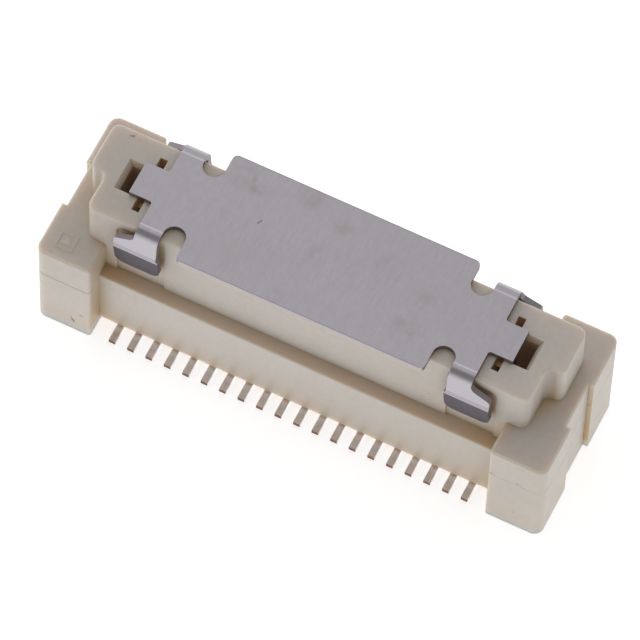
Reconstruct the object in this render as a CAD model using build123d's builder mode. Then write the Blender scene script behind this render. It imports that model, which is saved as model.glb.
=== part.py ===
import os

from build123d import *

os.makedirs("parts", exist_ok=True)

# All sizes are in millimetres. X runs along the contact rows, Y across them, Z up from the board.
# The origin is on the board plane under the middle of the housing.

# Contact rows
contacts_per_row = 20
pitch = 0.5
row_length = pitch * (contacts_per_row - 1)

# Contact strip, bent from flat metal
strip_thickness = 0.12
strip_width = 0.18
strip_inner_radius = 0.06
strip_bend_radius = strip_inner_radius + strip_thickness

# Mating slot
slot_floor = 1.25
slot_width = 0.72
slot_end_margin = 0.63
slot_length = row_length + 2 * slot_end_margin
lead_in_depth = 0.16
lead_in_end = 0.11
lead_in_side = 0.08
lead_in_length = slot_length + 2 * lead_in_end
lead_in_width = slot_width + 2 * lead_in_side

# Contact cavities beside the slot
cavity_side_gap = 0.01
cavity_inner_gap = 0.01
riser_from_slot = 0.31
riser_inner_y = slot_width / 2 + riser_from_slot
cavity_width = strip_width + 2 * cavity_side_gap
cavity_outer_y = riser_inner_y + strip_thickness
channel_inner_y = riser_inner_y - cavity_inner_gap
channel_width = cavity_outer_y - channel_inner_y

# Tower that carries the mating slot
tower_wall = 0.41
tower_width = 2 * (cavity_outer_y + tower_wall)
tower_height = 4.66
tower_corner_radius = 0.22
tower_step_y = -0.15
tower_step_flat = 0.06
tower_top_radius = 0.08

# Base with a ledge along each side of the tower
ledge_width = 0.38
ledge_height = 2.24
ledge_edge_radius = 0.04
base_width = tower_width + 2 * ledge_width
base_bottom = strip_bend_radius

# End blocks that stand on the board
block_margin = 0.57
block_length = 1.46
block_projection = 0.51
block_height = 3.2
block_corner_radius = 0.25
block_inner_corner_radius = 0.08
block_top_chamfer = 0.05
block_inner_x = row_length / 2 + block_margin
overall_length = 2 * (block_inner_x + block_length)
overall_width = base_width + 2 * block_projection
end_recess_depth = 0.13
end_recess_width = 1.28
seam_below_ledge = 0.14
seam_width = 0.022
seam_depth = 0.01

# The tower's ends stand back from the ends of the blocks, less on the far side than on the near side
long_end_setback = 0.5
short_end_setback = 0.94
tower_long_x = overall_length / 2 - long_end_setback
tower_short_x = overall_length / 2 - short_end_setback
tower_step_radius = (tower_long_x - tower_short_x - tower_step_flat) / 2

# Shape of each contact
tail_setback = 0.055
tail_tip_y = overall_width / 2 - tail_setback
beam_start_above_floor = 0.2
beam_start_z = slot_floor + beam_start_above_floor
contact_reach = 0.12
contact_point_y = slot_width / 2 - contact_reach
tip_below_top = 0.25
tip_height = 0.47
tip_return = 0.17
beam_tip_z = tower_height - tip_below_top
contact_point_z = beam_tip_z - tip_height
beam_tip_y = contact_point_y + tip_return

# Pick-up cover
sheet_thickness = 0.15
cover_top = tower_height + sheet_thickness
plate_overhang = 0.03
plate_width = base_width + 2 * plate_overhang
plate_corner_radius = 0.13
leg_outer_margin = 0.3
leg_width = 0.61
notch_width = 0.57
leg_outer_x = row_length / 2 - leg_outer_margin
leg_inner_x = leg_outer_x - leg_width
notch_radius = notch_width / 2
notch_centre_x = leg_inner_x - notch_radius
plate_length = 2 * (leg_inner_x - notch_width)
tab_setback = 0.31
tab_overlap = 0.1
tab_length = slot_length - 2 * tab_setback
tab_width = slot_width + 2 * tab_overlap
tab_corner_radius = 0.07

# Clip legs
leg_inner_radius = 0.14
leg_bend_radius = leg_inner_radius + sheet_thickness
leg_wall_gap = 0.06
leg_bulge = 0.1
foot_return = 0.12
notch_inset = 0.05
leg_shoulder_y = tower_width / 2 + leg_wall_gap + sheet_thickness
bend_start_y = leg_shoulder_y - leg_bend_radius
leg_bulge_y = leg_shoulder_y + leg_bulge
notch_centre_y = bend_start_y - notch_inset
foot_end_y = leg_bulge_y - foot_return
leg_bulge_drop = 0.87
foot_height = 0.88
leg_bulge_z = cover_top - leg_bulge_drop
foot_bottom = leg_bulge_z - foot_height
foot_step = 0.05
foot_step_z = leg_bulge_z + 0.03
foot_inner_x = leg_inner_x - foot_step
ear_width = 0.52
ear_root_drop = 0.32
ear_slope = 0.2
foot_outer_x = leg_outer_x + ear_width
ear_root_z = cover_top - ear_root_drop
ear_tip_z = ear_root_z - ear_slope
ear_root_radius = 0.2
ear_tip_radius = 0.1
foot_corner_radius = 0.28

# Shallow zones in the tower wall behind the clip legs
zone_inner_gap = 0.04
zone_outer_gap = 0.06
zone_top_drop = 0.28
zone_depth = 0.05
zone_corner_radius = 0.25
zone_inner_x = foot_inner_x - zone_inner_gap
zone_outer_x = foot_outer_x + zone_outer_gap
zone_top = tower_height - zone_top_drop

# Mark for contact one on the end block
mark_size = 0.47
mark_line = 0.045
mark_height = 0.012
mark_triangle_side = 0.3
mark_from_block_end = 0.59
mark_from_block_side = 0.52
mark_centre_x = mark_from_block_end - overall_length / 2
mark_centre_y = mark_from_block_side - overall_width / 2

# One end block, shared by both ends through a mirror
block_centre_x = block_inner_x + block_length / 2
with BuildPart() as end_block:
    with BuildSketch():
        with Locations((block_centre_x, 0)):
            Rectangle(block_length, overall_width)
        outline_corners = vertices().sort_by(Axis.X)
        fillet(outline_corners[2:], radius=block_corner_radius)
        inner_corners = vertices().sort_by(Axis.X)[:2]
        fillet(inner_corners, radius=block_inner_corner_radius)
        with Locations((overall_length / 2, 0)):
            Rectangle(2 * end_recess_depth, end_recess_width, mode=Mode.SUBTRACT)
    extrude(amount=block_height)
    chamfer(faces().sort_by(Axis.Z)[-1].edges(), length=block_top_chamfer)
    # Mould seam a little below the level of the side ledges
    with BuildSketch(Plane.XY.offset(ledge_height - seam_below_ledge)):
        with Locations((block_centre_x, 0)):
            Rectangle(2 * block_length, overall_width + 1)
        seam_core = end_block.faces().sort_by(Axis.Z)[0]
        offset(seam_core, amount=-seam_depth, mode=Mode.SUBTRACT)
    extrude(amount=seam_width, mode=Mode.SUBTRACT)
    mirror(about=Plane.YZ)

# Base between the end blocks
with BuildPart() as base:
    with BuildSketch(Plane.XY.offset(base_bottom)):
        Rectangle(2 * block_inner_x + 1, base_width)
    extrude(amount=ledge_height - base_bottom)
    ledge_edges = edges().filter_by(Axis.X).group_by(Axis.Z)[-1]
    fillet(ledge_edges, radius=ledge_edge_radius)

# Tower with its stepped ends, which let the plug in only one way round
with BuildPart() as tower:
    with BuildSketch(Plane.XY.offset(base_bottom)):
        with BuildLine():
            Polyline(
                (tower_short_x, -tower_width / 2),
                (tower_short_x, tower_step_y),
                (tower_long_x, tower_step_y),
                (tower_long_x, tower_width / 2),
                (-tower_long_x, tower_width / 2),
                (-tower_long_x, tower_step_y),
                (-tower_short_x, tower_step_y),
                (-tower_short_x, -tower_width / 2),
                close=True,
            )
        make_face()
        outer_corners = vertices().filter_by(lambda v: abs(v.Y) > tower_width / 2 - 0.001)
        fillet(outer_corners, radius=tower_corner_radius)
        step_corners = vertices().filter_by(lambda v: abs(v.Y - tower_step_y) < 0.001)
        fillet(step_corners, radius=tower_step_radius)
    extrude(amount=tower_height - base_bottom)
    fillet(faces().sort_by(Axis.Z)[-1].edges(), radius=tower_top_radius)

with BuildPart() as housing:
    add(base.part)
    add(end_block.part)
    add(tower.part)

    # Mating slot with sloping lead-in faces
    with BuildSketch(Plane.XY.offset(slot_floor)):
        Rectangle(slot_length, slot_width)
    extrude(amount=tower_height - slot_floor, mode=Mode.SUBTRACT)
    with BuildSketch(Plane.XY.offset(tower_height - lead_in_depth)):
        Rectangle(slot_length, slot_width)
    with BuildSketch(Plane.XY.offset(tower_height)):
        Rectangle(lead_in_length, lead_in_width)
    loft(mode=Mode.SUBTRACT)

    # Contact cavities beside the slot, one pair at each pitch
    with BuildSketch(Plane.XY.offset(slot_floor)):
        with GridLocations(pitch, 0, contacts_per_row, 1):
            Rectangle(cavity_width, 2 * cavity_outer_y)
    extrude(amount=tower_height - slot_floor, mode=Mode.SUBTRACT)

    # Channels in the base, as wide as the strip, that grip the contact risers
    channel_centre_y = (channel_inner_y + cavity_outer_y) / 2
    with BuildSketch(Plane.XY.offset(base_bottom)):
        with GridLocations(pitch, 2 * channel_centre_y, contacts_per_row, 2):
            Rectangle(strip_width, channel_width)
    extrude(amount=slot_floor - base_bottom, mode=Mode.SUBTRACT)

    # Shallow zone in the wall behind each clip leg
    for side_x in (-1, 1):
        for side_y in (-1, 1):
            wall_plane = Plane(
                origin=(0, side_y * tower_width / 2, 0),
                x_dir=(side_x, 0, 0),
                z_dir=(0, side_x * -1, 0),
            )
            inward = side_x * side_y
            with BuildSketch(wall_plane):
                with BuildLine():
                    Polyline(
                        (zone_inner_x, ledge_height),
                        (zone_inner_x, zone_top),
                        (zone_outer_x, zone_top),
                        (zone_outer_x, ledge_height),
                        close=True,
                    )
                make_face()
                zone_corner = vertices().group_by(Axis.Y)[-1].sort_by(Axis.X)[-1]
                fillet(zone_corner, radius=zone_corner_radius)
            extrude(amount=inward * zone_depth, mode=Mode.SUBTRACT)

    # Raised mark for contact one: a square outline with a triangle inside
    with BuildSketch(Plane.XY.offset(block_height)):
        with Locations((mark_centre_x, mark_centre_y)):
            Rectangle(mark_size, mark_size)
            Rectangle(mark_size - 2 * mark_line, mark_size - 2 * mark_line, mode=Mode.SUBTRACT)
            RegularPolygon(mark_triangle_side / 2, 3, rotation=90)
    extrude(amount=mark_height)

housing.part.label = "housing"
export_step(housing.part, "parts/housing.step")

# One contact of the front row, centred on X = 0
with BuildPart() as front_contact:
    with BuildSketch(Plane.YZ):
        with BuildLine():
            FilletPolyline(
                (-tail_tip_y, 0),
                (-riser_inner_y, 0),
                (-riser_inner_y, beam_start_z),
                (-contact_point_y, contact_point_z),
                (-beam_tip_y, beam_tip_z),
                radius=(strip_bend_radius, 0.0, strip_bend_radius),
            )
            offset(amount=strip_thickness, side=Side.LEFT)
        make_face()
    extrude(amount=strip_width / 2, both=True)

with BuildPart() as back_contact:
    add(front_contact.part)
    mirror(about=Plane.XZ, mode=Mode.REPLACE)

for number in range(1, contacts_per_row + 1):
    contact_x = pitch * (number - 1) - row_length / 2
    for row, source in (("front", front_contact), ("back", back_contact)):
        name = f"contact_{row}_{number:02d}"
        with BuildPart() as contact:
            with Locations((contact_x, 0, 0)):
                add(source.part)
        contact.part.label = name
        export_step(contact.part, f"parts/{name}.step")

# One clip leg at the +X +Y corner: the bent strip cut to the leg's outline
with BuildPart() as clip_leg:
    with BuildSketch(Plane.YZ.offset(foot_inner_x - 1)):
        with BuildLine():
            FilletPolyline(
                (bend_start_y, cover_top),
                (leg_shoulder_y, cover_top),
                (leg_bulge_y, leg_bulge_z),
                (foot_end_y, foot_bottom),
                radius=leg_bend_radius,
            )
            offset(amount=sheet_thickness, side=Side.RIGHT)
        make_face()
    extrude(amount=foot_outer_x - foot_inner_x + 2)
    with BuildSketch(Plane.XZ):
        with BuildLine():
            Polyline(
                (leg_inner_x, cover_top + 1),
                (leg_inner_x, foot_step_z + leg_inner_x - foot_inner_x),
                (foot_inner_x, foot_step_z),
                (foot_inner_x, foot_bottom - 0.01),
                (foot_outer_x, foot_bottom - 0.01),
                (foot_outer_x, ear_tip_z),
                (leg_outer_x, ear_root_z),
                (leg_outer_x, cover_top + 1),
                close=True,
            )
        make_face()
        foot_corners = vertices().group_by(Axis.Y)[0]
        fillet(foot_corners, radius=foot_corner_radius)
        ear_tip = vertices().filter_by(lambda v: abs(v.Y - ear_tip_z) < 0.001)
        fillet(ear_tip, radius=ear_tip_radius)
        ear_root = vertices().filter_by(lambda v: abs(v.Y - ear_root_z) < 0.001)
        fillet(ear_root, radius=ear_root_radius)
    extrude(amount=-overall_width, mode=Mode.INTERSECT)

with BuildPart() as pick_up_cover:
    with BuildSketch(Plane.XY.offset(tower_height)):
        Rectangle(2 * leg_outer_x, 2 * bend_start_y)
        with GridLocations(2 * notch_centre_x, 2 * notch_centre_y, 2, 2):
            Circle(notch_radius, mode=Mode.SUBTRACT)
        Rectangle(tab_length, tab_width)
        tab_corners = vertices().filter_by(
            lambda v: abs(abs(v.X) - leg_outer_x) < 0.001 and abs(abs(v.Y) - tab_width / 2) < 0.001
        )
        fillet(tab_corners, radius=tab_corner_radius)
        with BuildSketch(mode=Mode.PRIVATE) as plate:
            Rectangle(plate_length, plate_width)
            fillet(plate.vertices(), radius=plate_corner_radius)
        add(plate.sketch)
    extrude(amount=sheet_thickness)
    add(clip_leg.part)
    mirror(clip_leg.part, about=Plane.XZ)
    mirror(clip_leg.part, about=Plane.YZ)
    mirror(mirror(clip_leg.part, about=Plane.YZ, mode=Mode.PRIVATE), about=Plane.XZ)

pick_up_cover.part.label = "pick_up_cover"
export_step(pick_up_cover.part, "parts/pick_up_cover.step")
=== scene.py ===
import math

import bpy
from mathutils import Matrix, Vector

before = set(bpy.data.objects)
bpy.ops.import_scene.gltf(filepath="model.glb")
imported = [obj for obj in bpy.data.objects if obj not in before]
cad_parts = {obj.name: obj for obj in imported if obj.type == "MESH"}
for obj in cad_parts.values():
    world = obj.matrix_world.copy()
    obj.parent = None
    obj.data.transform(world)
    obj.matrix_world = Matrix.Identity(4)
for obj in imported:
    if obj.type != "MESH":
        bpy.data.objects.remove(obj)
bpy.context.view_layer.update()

MM = 0.001

# Heights and faces of the part, in millimetres
COVER_TOP = 4.81
TOWER_TOP = 4.66
FRONT_FACE = -2.09
RECESS_FACE = 6.65
SEAM_HEIGHT = 2.111
FOLD_LINES = (4.055, 3.985)
CONTACT_PITCH = 0.5


# Camera, fitted to points of the photograph: place in millimetres, angles in degrees
CAMERA_PLACE = (33.1967, -74.8907, 155.8122)
CAMERA_ANGLES = (27.9877, -1.1682, 26.1985)

camera_data = bpy.data.cameras.new("camera")
camera_data.sensor_width = 36.0
camera_data.lens = 407.2
camera_data.clip_start = 0.005
camera_data.clip_end = 10.0
camera = bpy.data.objects.new("camera", camera_data)
camera.location = [length * MM for length in CAMERA_PLACE]
camera.rotation_euler = [math.radians(angle) for angle in CAMERA_ANGLES]
bpy.context.collection.objects.link(camera)
bpy.context.scene.camera = camera
bpy.context.scene.view_settings.view_transform = "Standard"


# Node helpers
class Nodes:
    """Short calls for the nodes of one tree, for the place that is being shaded."""

    def __init__(self, tree, coordinate="Object"):
        self.tree = tree
        tree.nodes.clear()
        self.place = self.add("TexCoord", coordinate, {})

    def add(self, kind, output, inputs, **settings):
        """Adds a node and gives one of its outputs."""
        node = self.tree.nodes.new("ShaderNode" + kind)
        for name, value in settings.items():
            setattr(node, name, value)
        for name, value in inputs.items():
            if isinstance(value, bpy.types.NodeSocket):
                self.tree.links.new(value, node.inputs[name])
            else:
                node.inputs[name].default_value = value
        return node.outputs[output]

    def surface(self, shader, kind="OutputMaterial"):
        """Makes a shader the surface of the material or world."""
        node = self.tree.nodes.new("ShaderNode" + kind)
        self.tree.links.new(shader, node.inputs["Surface"])

    def shader(self, **values):
        """The principled shader. Its inputs are named with _ for a space."""
        inputs = {name.replace("_", " "): value for name, value in values.items()}
        self.surface(self.add("BsdfPrincipled", "BSDF", inputs))

    def at(self, axis):
        """Where the place is on an axis of the object."""
        return self.add("SeparateXYZ", axis, {"Vector": self.place})

    def along(self):
        """How far the place is from the middle, along the contact rows."""
        return self.math("ABSOLUTE", self.at("X"))

    def side(self):
        """How far the place is from the middle, across the contact rows."""
        return self.math("ABSOLUTE", self.at("Y"))

    def facing(self, axis):
        """How much the surface faces an axis of the object, from 0 to 1."""
        normal = self.add("TexCoord", "Normal", {})
        return self.math("ABSOLUTE", self.add("SeparateXYZ", axis, {"Vector": normal}))

    def noise(self, scale, detail):
        """Noise with so many grains to the metre, given once or for each axis."""
        place = self.place
        if isinstance(scale, tuple):
            place = self.add("Mapping", "Vector", {"Vector": place, "Scale": scale})
            scale = 1.0
        return self.add("TexNoise", "Fac", {"Vector": place, "Scale": scale, "Detail": detail})

    def math(self, kind, a, b=0.0):
        return self.add("Math", "Value", {0: a, 1: b}, operation=kind)

    def against(self, kind, vector):
        """DISTANCE from a fixed point, or DOT_PRODUCT with a fixed direction."""
        return self.add("VectorMath", "Value", {0: self.place, 1: vector}, operation=kind)

    def spread(self, value, low, high, to_low=0.0, to_high=1.0):
        """Maps the range from low to high onto another, and holds that one's ends outside."""
        ends = {"From Min": low, "From Max": high, "To Min": to_low, "To Max": to_high}
        return self.add("MapRange", "Result", {"Value": value, **ends})

    def between(self, length, start, full, to_start=0.0, to_full=1.0):
        """The same for a length, with start and full in millimetres."""
        return self.spread(length, start * MM, full * MM, to_start, to_full)

    def off(self, length, middle):
        """How far a length is from a middle given in millimetres."""
        return self.math("ABSOLUTE", self.math("SUBTRACT", length, middle * MM))

    def mix(self, share, a, b):
        # 6 and 7 are the colour inputs of the mix node, 2 its colour output
        return self.add("Mix", 2, {"Factor": share, 6: a, 7: b}, data_type="RGBA")

    def tint(self, colour, target, strength, *masks):
        """Takes a colour part of the way to a target where all the masks are 1."""
        share = strength
        for mask in masks:
            share = self.math("MULTIPLY", mask, share)
        return self.mix(share, colour, target)

    def bump(self, height, depth, strength):
        inputs = {"Strength": strength, "Distance": depth, "Height": height}
        return self.add("Bump", "Normal", inputs)

    def openness(self, reach):
        """How open the surface is within this reach: 1 in the open, 0 deep in a hollow."""
        return self.add("AmbientOcclusion", "AO", {"Distance": reach * MM}, samples=6)

    def spot(self, centre, radius, wobble=0.0):
        """1 in the middle of a soft spot round a point of the object, 0 outside."""
        distance = self.against("DISTANCE", [length * MM for length in centre])
        distance = self.math("ADD", distance, wobble)
        return self.between(distance, 1.25 * radius, 0.55 * radius)

    def specks(self, colour, target, table, grains):
        """Specks of dirt from a table of place, radius and strength, with uneven rims."""
        uneven = 0.02 * MM
        wobble = self.spread(grains, 0.3, 0.7, -uneven, uneven)
        for centre, radius, strength in table:
            colour = self.tint(colour, target, strength, self.spot(centre, radius, wobble))
        return colour


def new_material(name):
    material = bpy.data.materials.new(name)
    material.use_nodes = True
    return material, Nodes(material.node_tree)


# Specks and stains: place in millimetres, radius in millimetres, strength
PLASTIC_SPECKS = (
    ((-5.75, 1.00, TOWER_TOP), 0.024, 0.7),
    ((-5.72, 1.015, TOWER_TOP), 0.024, 0.7),
    ((-5.68, 1.03, TOWER_TOP), 0.024, 0.6),
    ((-5.50, 0.99, TOWER_TOP), 0.025, 0.35),
    ((-5.33, 0.97, TOWER_TOP), 0.02, 0.35),
    ((-5.15, 1.00, TOWER_TOP), 0.02, 0.3),
    ((-5.83, FRONT_FACE, 0.56), 0.026, 0.8),
    ((-5.81, FRONT_FACE, 0.49), 0.036, 0.95),
    ((-5.785, FRONT_FACE, 0.43), 0.042, 1.0),
    ((-5.76, FRONT_FACE, 0.37), 0.034, 0.95),
    ((-5.61, FRONT_FACE, 0.81), 0.022, 0.7),
    ((-5.57, FRONT_FACE, 0.82), 0.028, 0.9),
    ((-5.52, FRONT_FACE, 0.84), 0.024, 0.8),
    ((3.31, -1.20, 2.90), 0.022, 0.5),
    ((6.09, FRONT_FACE, 2.20), 0.035, 0.55),
    ((5.40, FRONT_FACE, 2.16), 0.045, 0.5),
    ((5.50, FRONT_FACE, 2.13), 0.03, 0.35),
    ((6.06, FRONT_FACE, 0.68), 0.025, 0.45),
    ((RECESS_FACE, -0.10, 1.19), 0.04, 0.4),
    ((RECESS_FACE, -0.20, 1.45), 0.03, 0.3),
)
STEEL_SPECKS = (
    ((-1.945, 0.175, COVER_TOP), 0.026, 0.8),
    ((-1.93, 0.205, COVER_TOP), 0.024, 0.85),
    ((-1.915, 0.235, COVER_TOP), 0.022, 0.8),
    ((-1.90, 0.265, COVER_TOP), 0.020, 0.6),
    ((-2.48, 1.54, COVER_TOP), 0.022, 0.35),
)
STEEL_STAINS = (
    ((-2.34, 1.10, COVER_TOP), 0.36, 0.5),
    ((-2.78, 1.15, COVER_TOP), 0.39, 0.45),
    ((-1.11, 1.42, COVER_TOP), 0.36, 0.4),
    ((-0.03, 0.97, COVER_TOP), 0.255, 0.4),
    ((-0.30, 0.14, COVER_TOP), 0.225, 0.45),
    ((-0.57, -0.22, COVER_TOP), 0.27, 0.4),
    ((1.39, 0.49, COVER_TOP), 0.39, 0.3),
    ((2.48, 0.08, COVER_TOP), 0.27, 0.5),
    ((2.42, -0.82, COVER_TOP), 0.39, 0.5),
    ((-2.63, 0.15, COVER_TOP), 0.30, 0.3),
    ((-0.75, -1.40, COVER_TOP), 0.225, 0.4),
)


# Moulded plastic
def plastic_ground(n):
    """Pale and warm clouds, faint flow lines and a fine mottle."""
    pale = (0.664, 0.613, 0.568, 1)
    warm = (0.626, 0.570, 0.508, 1)
    flow_tone = (0.64, 0.60, 0.55, 1)
    mottle_tone = (0.45, 0.40, 0.34, 1)
    clouds = n.spread(n.noise(260, 3), 0.35, 0.65)
    flow = n.spread(n.noise((300, 300, 1100), 4), 0.4, 0.75)
    mottle = n.spread(n.noise(7000, 2), 0.35, 0.65)
    colour = n.mix(clouds, pale, warm)
    colour = n.tint(colour, flow_tone, 0.25, flow)
    return n.tint(colour, mottle_tone, 0.12, mottle)


def painted_moulding_light_and_shade(n, colour):
    """Painted shade along the seam groove on the left block, painted light over it on the right
    block's front, painted light on the side walls of the end recesses and a painted highlight on
    the triangle for contact one.
    """
    seam_shade = (0.25, 0.20, 0.15, 1)
    light_over_seam = (0.95, 0.88, 0.80, 1)
    recess_wall_light = (0.80, 0.75, 0.70, 1)
    triangle_highlight = (0.85, 0.80, 0.74, 1)
    seam = n.between(n.off(n.at("Z"), SEAM_HEIGHT), 0.020, 0.012)
    left_block = n.between(n.at("X"), -5.33, -5.36)
    right_block = n.between(n.at("X"), 5.42, 5.50)
    block_front = n.between(n.at("Y"), -1.95, -2.05)
    # Painted shade along the seam groove on the left block
    colour = n.tint(colour, seam_shade, 0.65, seam, left_block)
    # Painted light over the seam groove on the right block's front, hiding its shade
    colour = n.tint(colour, light_over_seam, 0.6, seam, right_block, block_front)
    recess_depth = n.between(n.along(), RECESS_FACE - 0.02, RECESS_FACE)
    recess_width = n.between(n.side(), 0.70, 0.66)
    side_wall = n.spread(n.facing("Y"), 0.6, 0.8)
    # Painted light on the side walls of the end recesses
    colour = n.tint(colour, recess_wall_light, 0.6, recess_depth, recess_width, side_wall)
    triangle = n.spot((-6.19, -1.57, 3.212), 0.13)
    raised = n.between(n.at("Z"), 3.206, 3.210)
    # Painted highlight on the top of the raised triangle
    return n.tint(colour, triangle_highlight, 0.2, triangle, raised)


def painted_tail_reflections(n, colour):
    """Painted brown shade low on the base walls, one band to each contact, leaning as it rises: a
    painted reflection of the tails.
    """
    reflection_brown = (0.46, 0.38, 0.29, 1)
    lean = 0.22
    shift = 0.21 * MM
    full_turn = 2 * math.pi
    place = n.math("SUBTRACT", n.at("X"), n.math("MULTIPLY", n.at("Z"), lean))
    place = n.math("SUBTRACT", place, shift)
    wave = n.math("COSINE", n.math("MULTIPLY", place, full_turn / (CONTACT_PITCH * MM)))
    reflection_band = n.spread(wave, 0.35, 1.0)
    low_wall = n.between(n.at("Z"), 0.95, 0.30)
    contact_rows = n.between(n.along(), 5.0, 4.95)
    # Painted reflection of each tail, as brown shade on the wall above it
    return n.tint(colour, reflection_brown, 0.35, reflection_band, low_wall, contact_rows)


def painted_hollow_shade(n, colour, openness):
    """Painted shade: a warm tone in corners and a dark one in hollows, then painted light as a
    lighter brown in the deepest.
    """
    corner_shade = (0.62, 0.465, 0.27, 1)
    hollow_shade = (0.33, 0.22, 0.14, 1)
    deep_seeping_light = (0.62, 0.41, 0.25, 1)
    above_board = n.between(n.at("Z"), 0.16, 0.40)
    # Painted shade in corners
    colour = n.tint(colour, corner_shade, 1.0, n.spread(openness, 0.66, 0.30), above_board)
    less_past_slot = n.between(n.side(), 0.38, 0.42, 1.0, 0.30)
    # Painted shade in hollows, less past the slot
    colour = n.tint(colour, hollow_shade, 0.9, n.spread(openness, 0.30, 0.06), less_past_slot)
    # Painted light: a lighter brown in the deepest hollows
    return n.tint(colour, deep_seeping_light, 1.0, n.spread(openness, 0.10, 0.03))


def housing_plastic():
    material, n = new_material("housing_plastic")
    dirt = (0.11, 0.095, 0.09, 1)
    openness = n.openness(2.6)
    colour = painted_moulding_light_and_shade(n, plastic_ground(n))
    colour = n.specks(colour, dirt, PLASTIC_SPECKS, n.noise(22000, 3))
    colour = painted_tail_reflections(n, colour)
    colour = painted_hollow_shade(n, colour, openness)
    # A faint painted glow in the deepest hollows stands for light that seeps through the thin
    # walls and keeps them brown
    painted_glow = n.spread(openness, 0.10, 0.03, 0.0, 0.015)
    n.shader(
        Base_Color=colour,
        Roughness=n.spread(n.noise(2400, 3), 0.3, 0.7, 0.34, 0.44),
        Normal=n.bump(n.noise(16000, 2), 0.0022 * MM, 0.6),
        IOR=1.5,
        Specular_IOR_Level=0.25,
        Subsurface_Weight=0.6,
        Subsurface_Radius=(0.60 * MM, 0.36 * MM, 0.20 * MM),
        Subsurface_Scale=1.0,
        Emission_Color=(1.0, 0.70, 0.52, 1),
        Emission_Strength=painted_glow,
    )
    material.cycles.emission_sampling = "NONE"
    return material


# Brushed steel
def steel_ground(n, brushing):
    """Brushed lines, soft smudges and a fine mottle."""
    steel = (0.482, 0.456, 0.492, 1)
    darker = (0.446, 0.420, 0.454, 1)
    smudge_tone = (0.41, 0.37, 0.37, 1)
    mottle_tone = (0.400, 0.384, 0.396, 1)
    smudges = n.spread(n.noise(620, 4), 0.55, 0.8)
    mottle = n.spread(n.noise(8000, 2), 0.40, 0.65)
    colour = n.mix(n.spread(brushing, 0.3, 0.7), steel, darker)
    colour = n.tint(colour, smudge_tone, 0.35, smudges)
    return n.tint(colour, mottle_tone, 0.22, mottle)


def plate_dirt(n, colour):
    """Faint patchy handling stains and a few specks on the plate."""
    stain = (0.362, 0.305, 0.300, 1)
    dirt = (0.22, 0.19, 0.18, 1)
    patchy = n.spread(n.noise(2600, 4), 0.40, 0.62)
    for centre, radius, strength in STEEL_STAINS:
        colour = n.tint(colour, stain, strength, n.spot(centre, radius), patchy)
    return n.specks(colour, dirt, STEEL_SPECKS, n.noise(30000, 2))


def painted_leg_light_and_shade(n, colour, on_leg, on_foot):
    """Painted light on the legs, a painted dark reflection on the feet and two fine lines of
    painted shade along the folds just above the feet.
    """
    lit_leg_tone = (0.520, 0.495, 0.535, 1)
    foot_shade = (0.085, 0.076, 0.102, 1)
    fold_shade = (0.20, 0.19, 0.21, 1)
    # Painted light on the legs
    colour = n.tint(colour, lit_leg_tone, 0.7, on_leg)
    # Painted dark reflection on the feet
    colour = n.tint(colour, foot_shade, 1.0, on_foot)
    # Painted shade along the two fold lines
    for height in FOLD_LINES:
        line = n.between(n.off(n.at("Z"), height), 0.032, 0.004)
        colour = n.tint(colour, fold_shade, 0.6, line, on_leg)
    return colour


def sheared_rims(n):
    """1 on the sheared edges of the legs and of the plate, but not on its long edges."""
    upright = n.spread(n.facing("Z"), 0.45, 0.25)
    plate_height = n.between(n.at("Z"), TOWER_TOP - 0.005, TOWER_TOP + 0.005)
    off_long_edges = n.between(n.side(), 1.58, 1.55)
    plate_rim = n.math("MULTIPLY", n.math("MULTIPLY", upright, plate_height), off_long_edges)
    leg_edge = n.spread(n.facing("Y"), 0.5, 0.3)
    leg_height = n.between(n.at("Z"), TOWER_TOP - 0.01, TOWER_TOP - 0.03)
    return n.math("MAXIMUM", plate_rim, n.math("MULTIPLY", leg_edge, leg_height))


def rim_tones_and_painted_light(n, colour, sheared):
    """Sheared edges, painted highlights where the legs start to bend, the plate's long edges, a
    painted reflection of the plastic low on the plate's outer side and painted shade in crevices.
    """
    sheared_tone = (0.25, 0.225, 0.22, 1)
    bend_highlight = (0.80, 0.77, 0.82, 1)
    long_edge_tone = (0.26, 0.24, 0.31, 1)
    rim_reflection_tone = (0.50, 0.455, 0.385, 1)
    crevice_shade = (0.20, 0.17, 0.16, 1)
    colour = n.tint(colour, sheared_tone, 0.75, sheared)
    level = n.spread(n.facing("Z"), 0.8, 0.9)
    bend_start = n.between(n.off(n.side(), 1.10), 0.035, 0.015)
    past_plate = n.between(n.along(), 3.4, 3.5)
    # Painted highlight where the legs start to bend
    colour = n.tint(colour, bend_highlight, 0.45, bend_start, past_plate, level)
    long_edge = n.between(n.side(), 1.575, 1.60)
    colour = n.tint(colour, long_edge_tone, 0.6, long_edge, level)
    outer_side = n.between(n.side(), 1.59, 1.60)
    lower_half = n.between(n.at("Z"), 4.755, 4.715)
    # Painted reflection of the plastic on the lower half of the plate's outer side
    colour = n.tint(colour, rim_reflection_tone, 0.7, outer_side, lower_half)
    # Painted shade in crevices
    return n.tint(colour, crevice_shade, 0.5, n.spread(n.openness(0.35), 0.55, 0.1))


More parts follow.
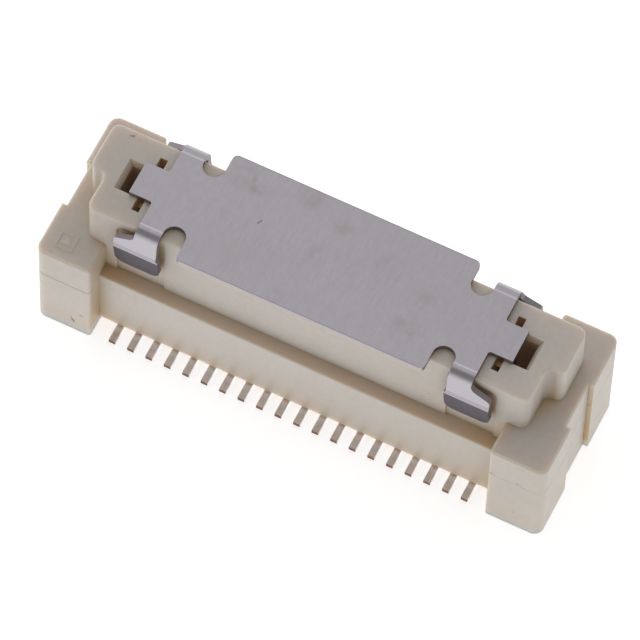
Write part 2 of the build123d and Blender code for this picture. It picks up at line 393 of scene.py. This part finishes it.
def cover_steel():
    material, n = new_material("cover_steel")
    fine_brushing = n.noise((34000, 3200, 30000), 3)
    broad_brushing = n.noise((9000, 500, 9000), 3)
    beyond_tower = n.between(n.side(), 1.26, 1.30)
    past_plate = n.between(n.along(), 3.30, 3.40)
    on_leg = n.math("MULTIPLY", beyond_tower, past_plate)
    on_foot = n.math("MULTIPLY", n.between(n.at("Z"), 3.935, 3.905), on_leg)
    sheared = sheared_rims(n)
    colour = plate_dirt(n, steel_ground(n, fine_brushing))
    colour = painted_leg_light_and_shade(n, colour, on_leg, on_foot)
    colour = rim_tones_and_painted_light(n, colour, sheared)
    rough = n.spread(n.math("ADD", fine_brushing, broad_brushing), 0.7, 1.3, 0.31, 0.36)
    rough = n.math("ADD", rough, n.math("MULTIPLY", sheared, 0.15))
    rough = n.math("ADD", rough, n.math("MULTIPLY", on_foot, 0.09))
    lines_off_legs = n.math("MULTIPLY", fine_brushing, n.math("SUBTRACT", 1.0, on_leg))
    n.shader(
        Base_Color=colour,
        Metallic=1.0,
        Roughness=rough,
        Normal=n.bump(lines_off_legs, 0.0004 * MM, 0.2),
        Anisotropic=0.3,
    )
    return material


# Plated contacts
def contact_metal():
    """Tin on the tails with painted light near their roots, bare copper on their cut ends and gold
    on the beams.
    """
    material, n = new_material("contact_metal")
    tin = (0.82, 0.765, 0.75, 1)
    dull_tin = (0.69, 0.635, 0.615, 1)
    lit_root_tin = (0.92, 0.95, 1.0, 1)
    gold = (0.42, 0.27, 0.13, 1)
    copper = (0.25, 0.13, 0.085, 1)
    grain = n.noise((30000, 3000, 3000), 4)
    patches = n.noise(2600, 3)
    tail_root = n.between(n.side(), 1.80, 1.68)
    cut_end = n.between(n.side(), 2.031, 2.0335)
    beam = n.between(n.at("Z"), 1.3, 1.5)
    colour = n.mix(n.spread(n.math("ADD", patches, grain), 0.8, 1.25), tin, dull_tin)
    # Painted light: the tin is made lighter near the tail roots, against the shade under the
    # housing
    colour = n.tint(colour, lit_root_tin, 0.9, tail_root)
    colour = n.mix(beam, colour, gold)
    colour = n.mix(cut_end, colour, copper)
    rough = n.spread(grain, 0.3, 0.7, 0.26, 0.4)
    rough = n.math("ADD", rough, n.math("MULTIPLY", cut_end, 0.2))
    normal = n.bump(grain, 0.0014 * MM, 0.4)
    n.shader(Base_Color=colour, Metallic=1.0, Roughness=rough, Normal=normal)
    return material


def dress(node, material):
    """Gives a CAD node's object one material."""
    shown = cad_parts[node]
    shown.data.materials.clear()
    shown.data.materials.append(material)


plastic = housing_plastic()
steel = cover_steel()
plated = contact_metal()
for node_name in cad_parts:
    if node_name == "housing":
        dress(node_name, plastic)
    elif node_name == "pick_up_cover":
        dress(node_name, steel)
    else:
        dress(node_name, plated)


# Floor
def white_paper():
    """White paper that glows only where it is seen, mirrored or seen through something."""
    material, n = new_material("floor")
    white = (0.815, 0.815, 0.812, 1)
    off_white = (0.80, 0.80, 0.80, 1)
    rays = n.tree.nodes.new("ShaderNodeLightPath").outputs
    seen = n.math("MAXIMUM", rays["Is Camera Ray"], rays["Is Glossy Ray"])
    seen = n.math("MAXIMUM", seen, rays["Is Transmission Ray"])
    n.shader(
        Base_Color=n.mix(n.spread(n.noise(90, 3), 0.3, 0.7), off_white, white),
        Roughness=0.9,
        Emission_Color=(1, 1, 1, 1),
        Emission_Strength=n.math("MULTIPLY", seen, 0.63),
    )
    return material


FLOOR_HALF = 1.5
FLOOR_DROP = 0.01 * MM

floor_corners = [
    (-FLOOR_HALF, -FLOOR_HALF, 0),
    (FLOOR_HALF, -FLOOR_HALF, 0),
    (FLOOR_HALF, FLOOR_HALF, 0),
    (-FLOOR_HALF, FLOOR_HALF, 0),
]
floor_mesh = bpy.data.meshes.new("floor")
floor_mesh.from_pydata(floor_corners, [], [(0, 1, 2, 3)])
floor_mesh.materials.append(white_paper())
floor = bpy.data.objects.new("floor", floor_mesh)
floor.location = (0, 0, -FLOOR_DROP)
bpy.context.collection.objects.link(floor)


# Light, with places and sizes in metres and power in watts
def disk_light(name, place, aim, size, power, colour=(1, 1, 1)):
    data = bpy.data.lights.new(name, "AREA")
    data.shape = "DISK"
    data.size = size
    data.energy = power
    data.color = colour
    lamp = bpy.data.objects.new(name, data)
    lamp.location = place
    backwards = lamp.location - Vector(aim)
    lamp.rotation_euler = backwards.to_track_quat("Z", "Y").to_euler()
    bpy.context.collection.objects.link(lamp)
    return lamp


disk_light(
    "right_light",
    place=(0.24, -0.06, 0.03),
    aim=(0, 0, 0.002),
    size=0.12,
    power=0.0042,
    colour=(0.80, 0.92, 1.0),
)
# Shines up from just above the floor, under the object and round it
light_table = disk_light(
    "light_table",
    place=(0, 0, 0.00002),
    aim=(0, 0, 1),
    size=0.06,
    power=0.0055,
)
light_table.visible_camera = False
light_table.visible_glossy = False


def tent_of_light():
    """A soft tent of light, brighter round the horizon than above.

    Each of its parts has a direction, and the cosines to that direction between which it fades in.
    """
    world = bpy.data.worlds.new("studio")
    world.use_nodes = True
    bpy.context.scene.world = world
    n = Nodes(world.node_tree, "Generated")

    def part(direction, start, full, to_start, to_full):
        return n.spread(n.against("DOT_PRODUCT", direction), start, full, to_start, to_full)

    strength = part((0, 0, 1), 0.0, 0.6, 1.22, 0.78)
    brighter_left = part((-0.82, 0.2, 0.53), 0.5, 0.95, 0.0, 0.40)
    dimmer_right = part((0.98, -0.2, 0), 0.2, 0.9, 0.0, -0.50)
    gap_above_front = part((-0.19, -0.46, 0.867), 0.76, 0.93, 1.0, 0.40)
    patch_above = part((-0.19, 0.18, 0.965), 0.978, 0.992, 0.0, 0.3)
    strength = n.math("ADD", strength, brighter_left)
    strength = n.math("ADD", strength, dimmer_right)
    strength = n.math("MULTIPLY", strength, gap_above_front)
    strength = n.math("ADD", strength, patch_above)
    n.surface(n.add("Background", "Background", {"Strength": strength}), "OutputWorld")


tent_of_light()
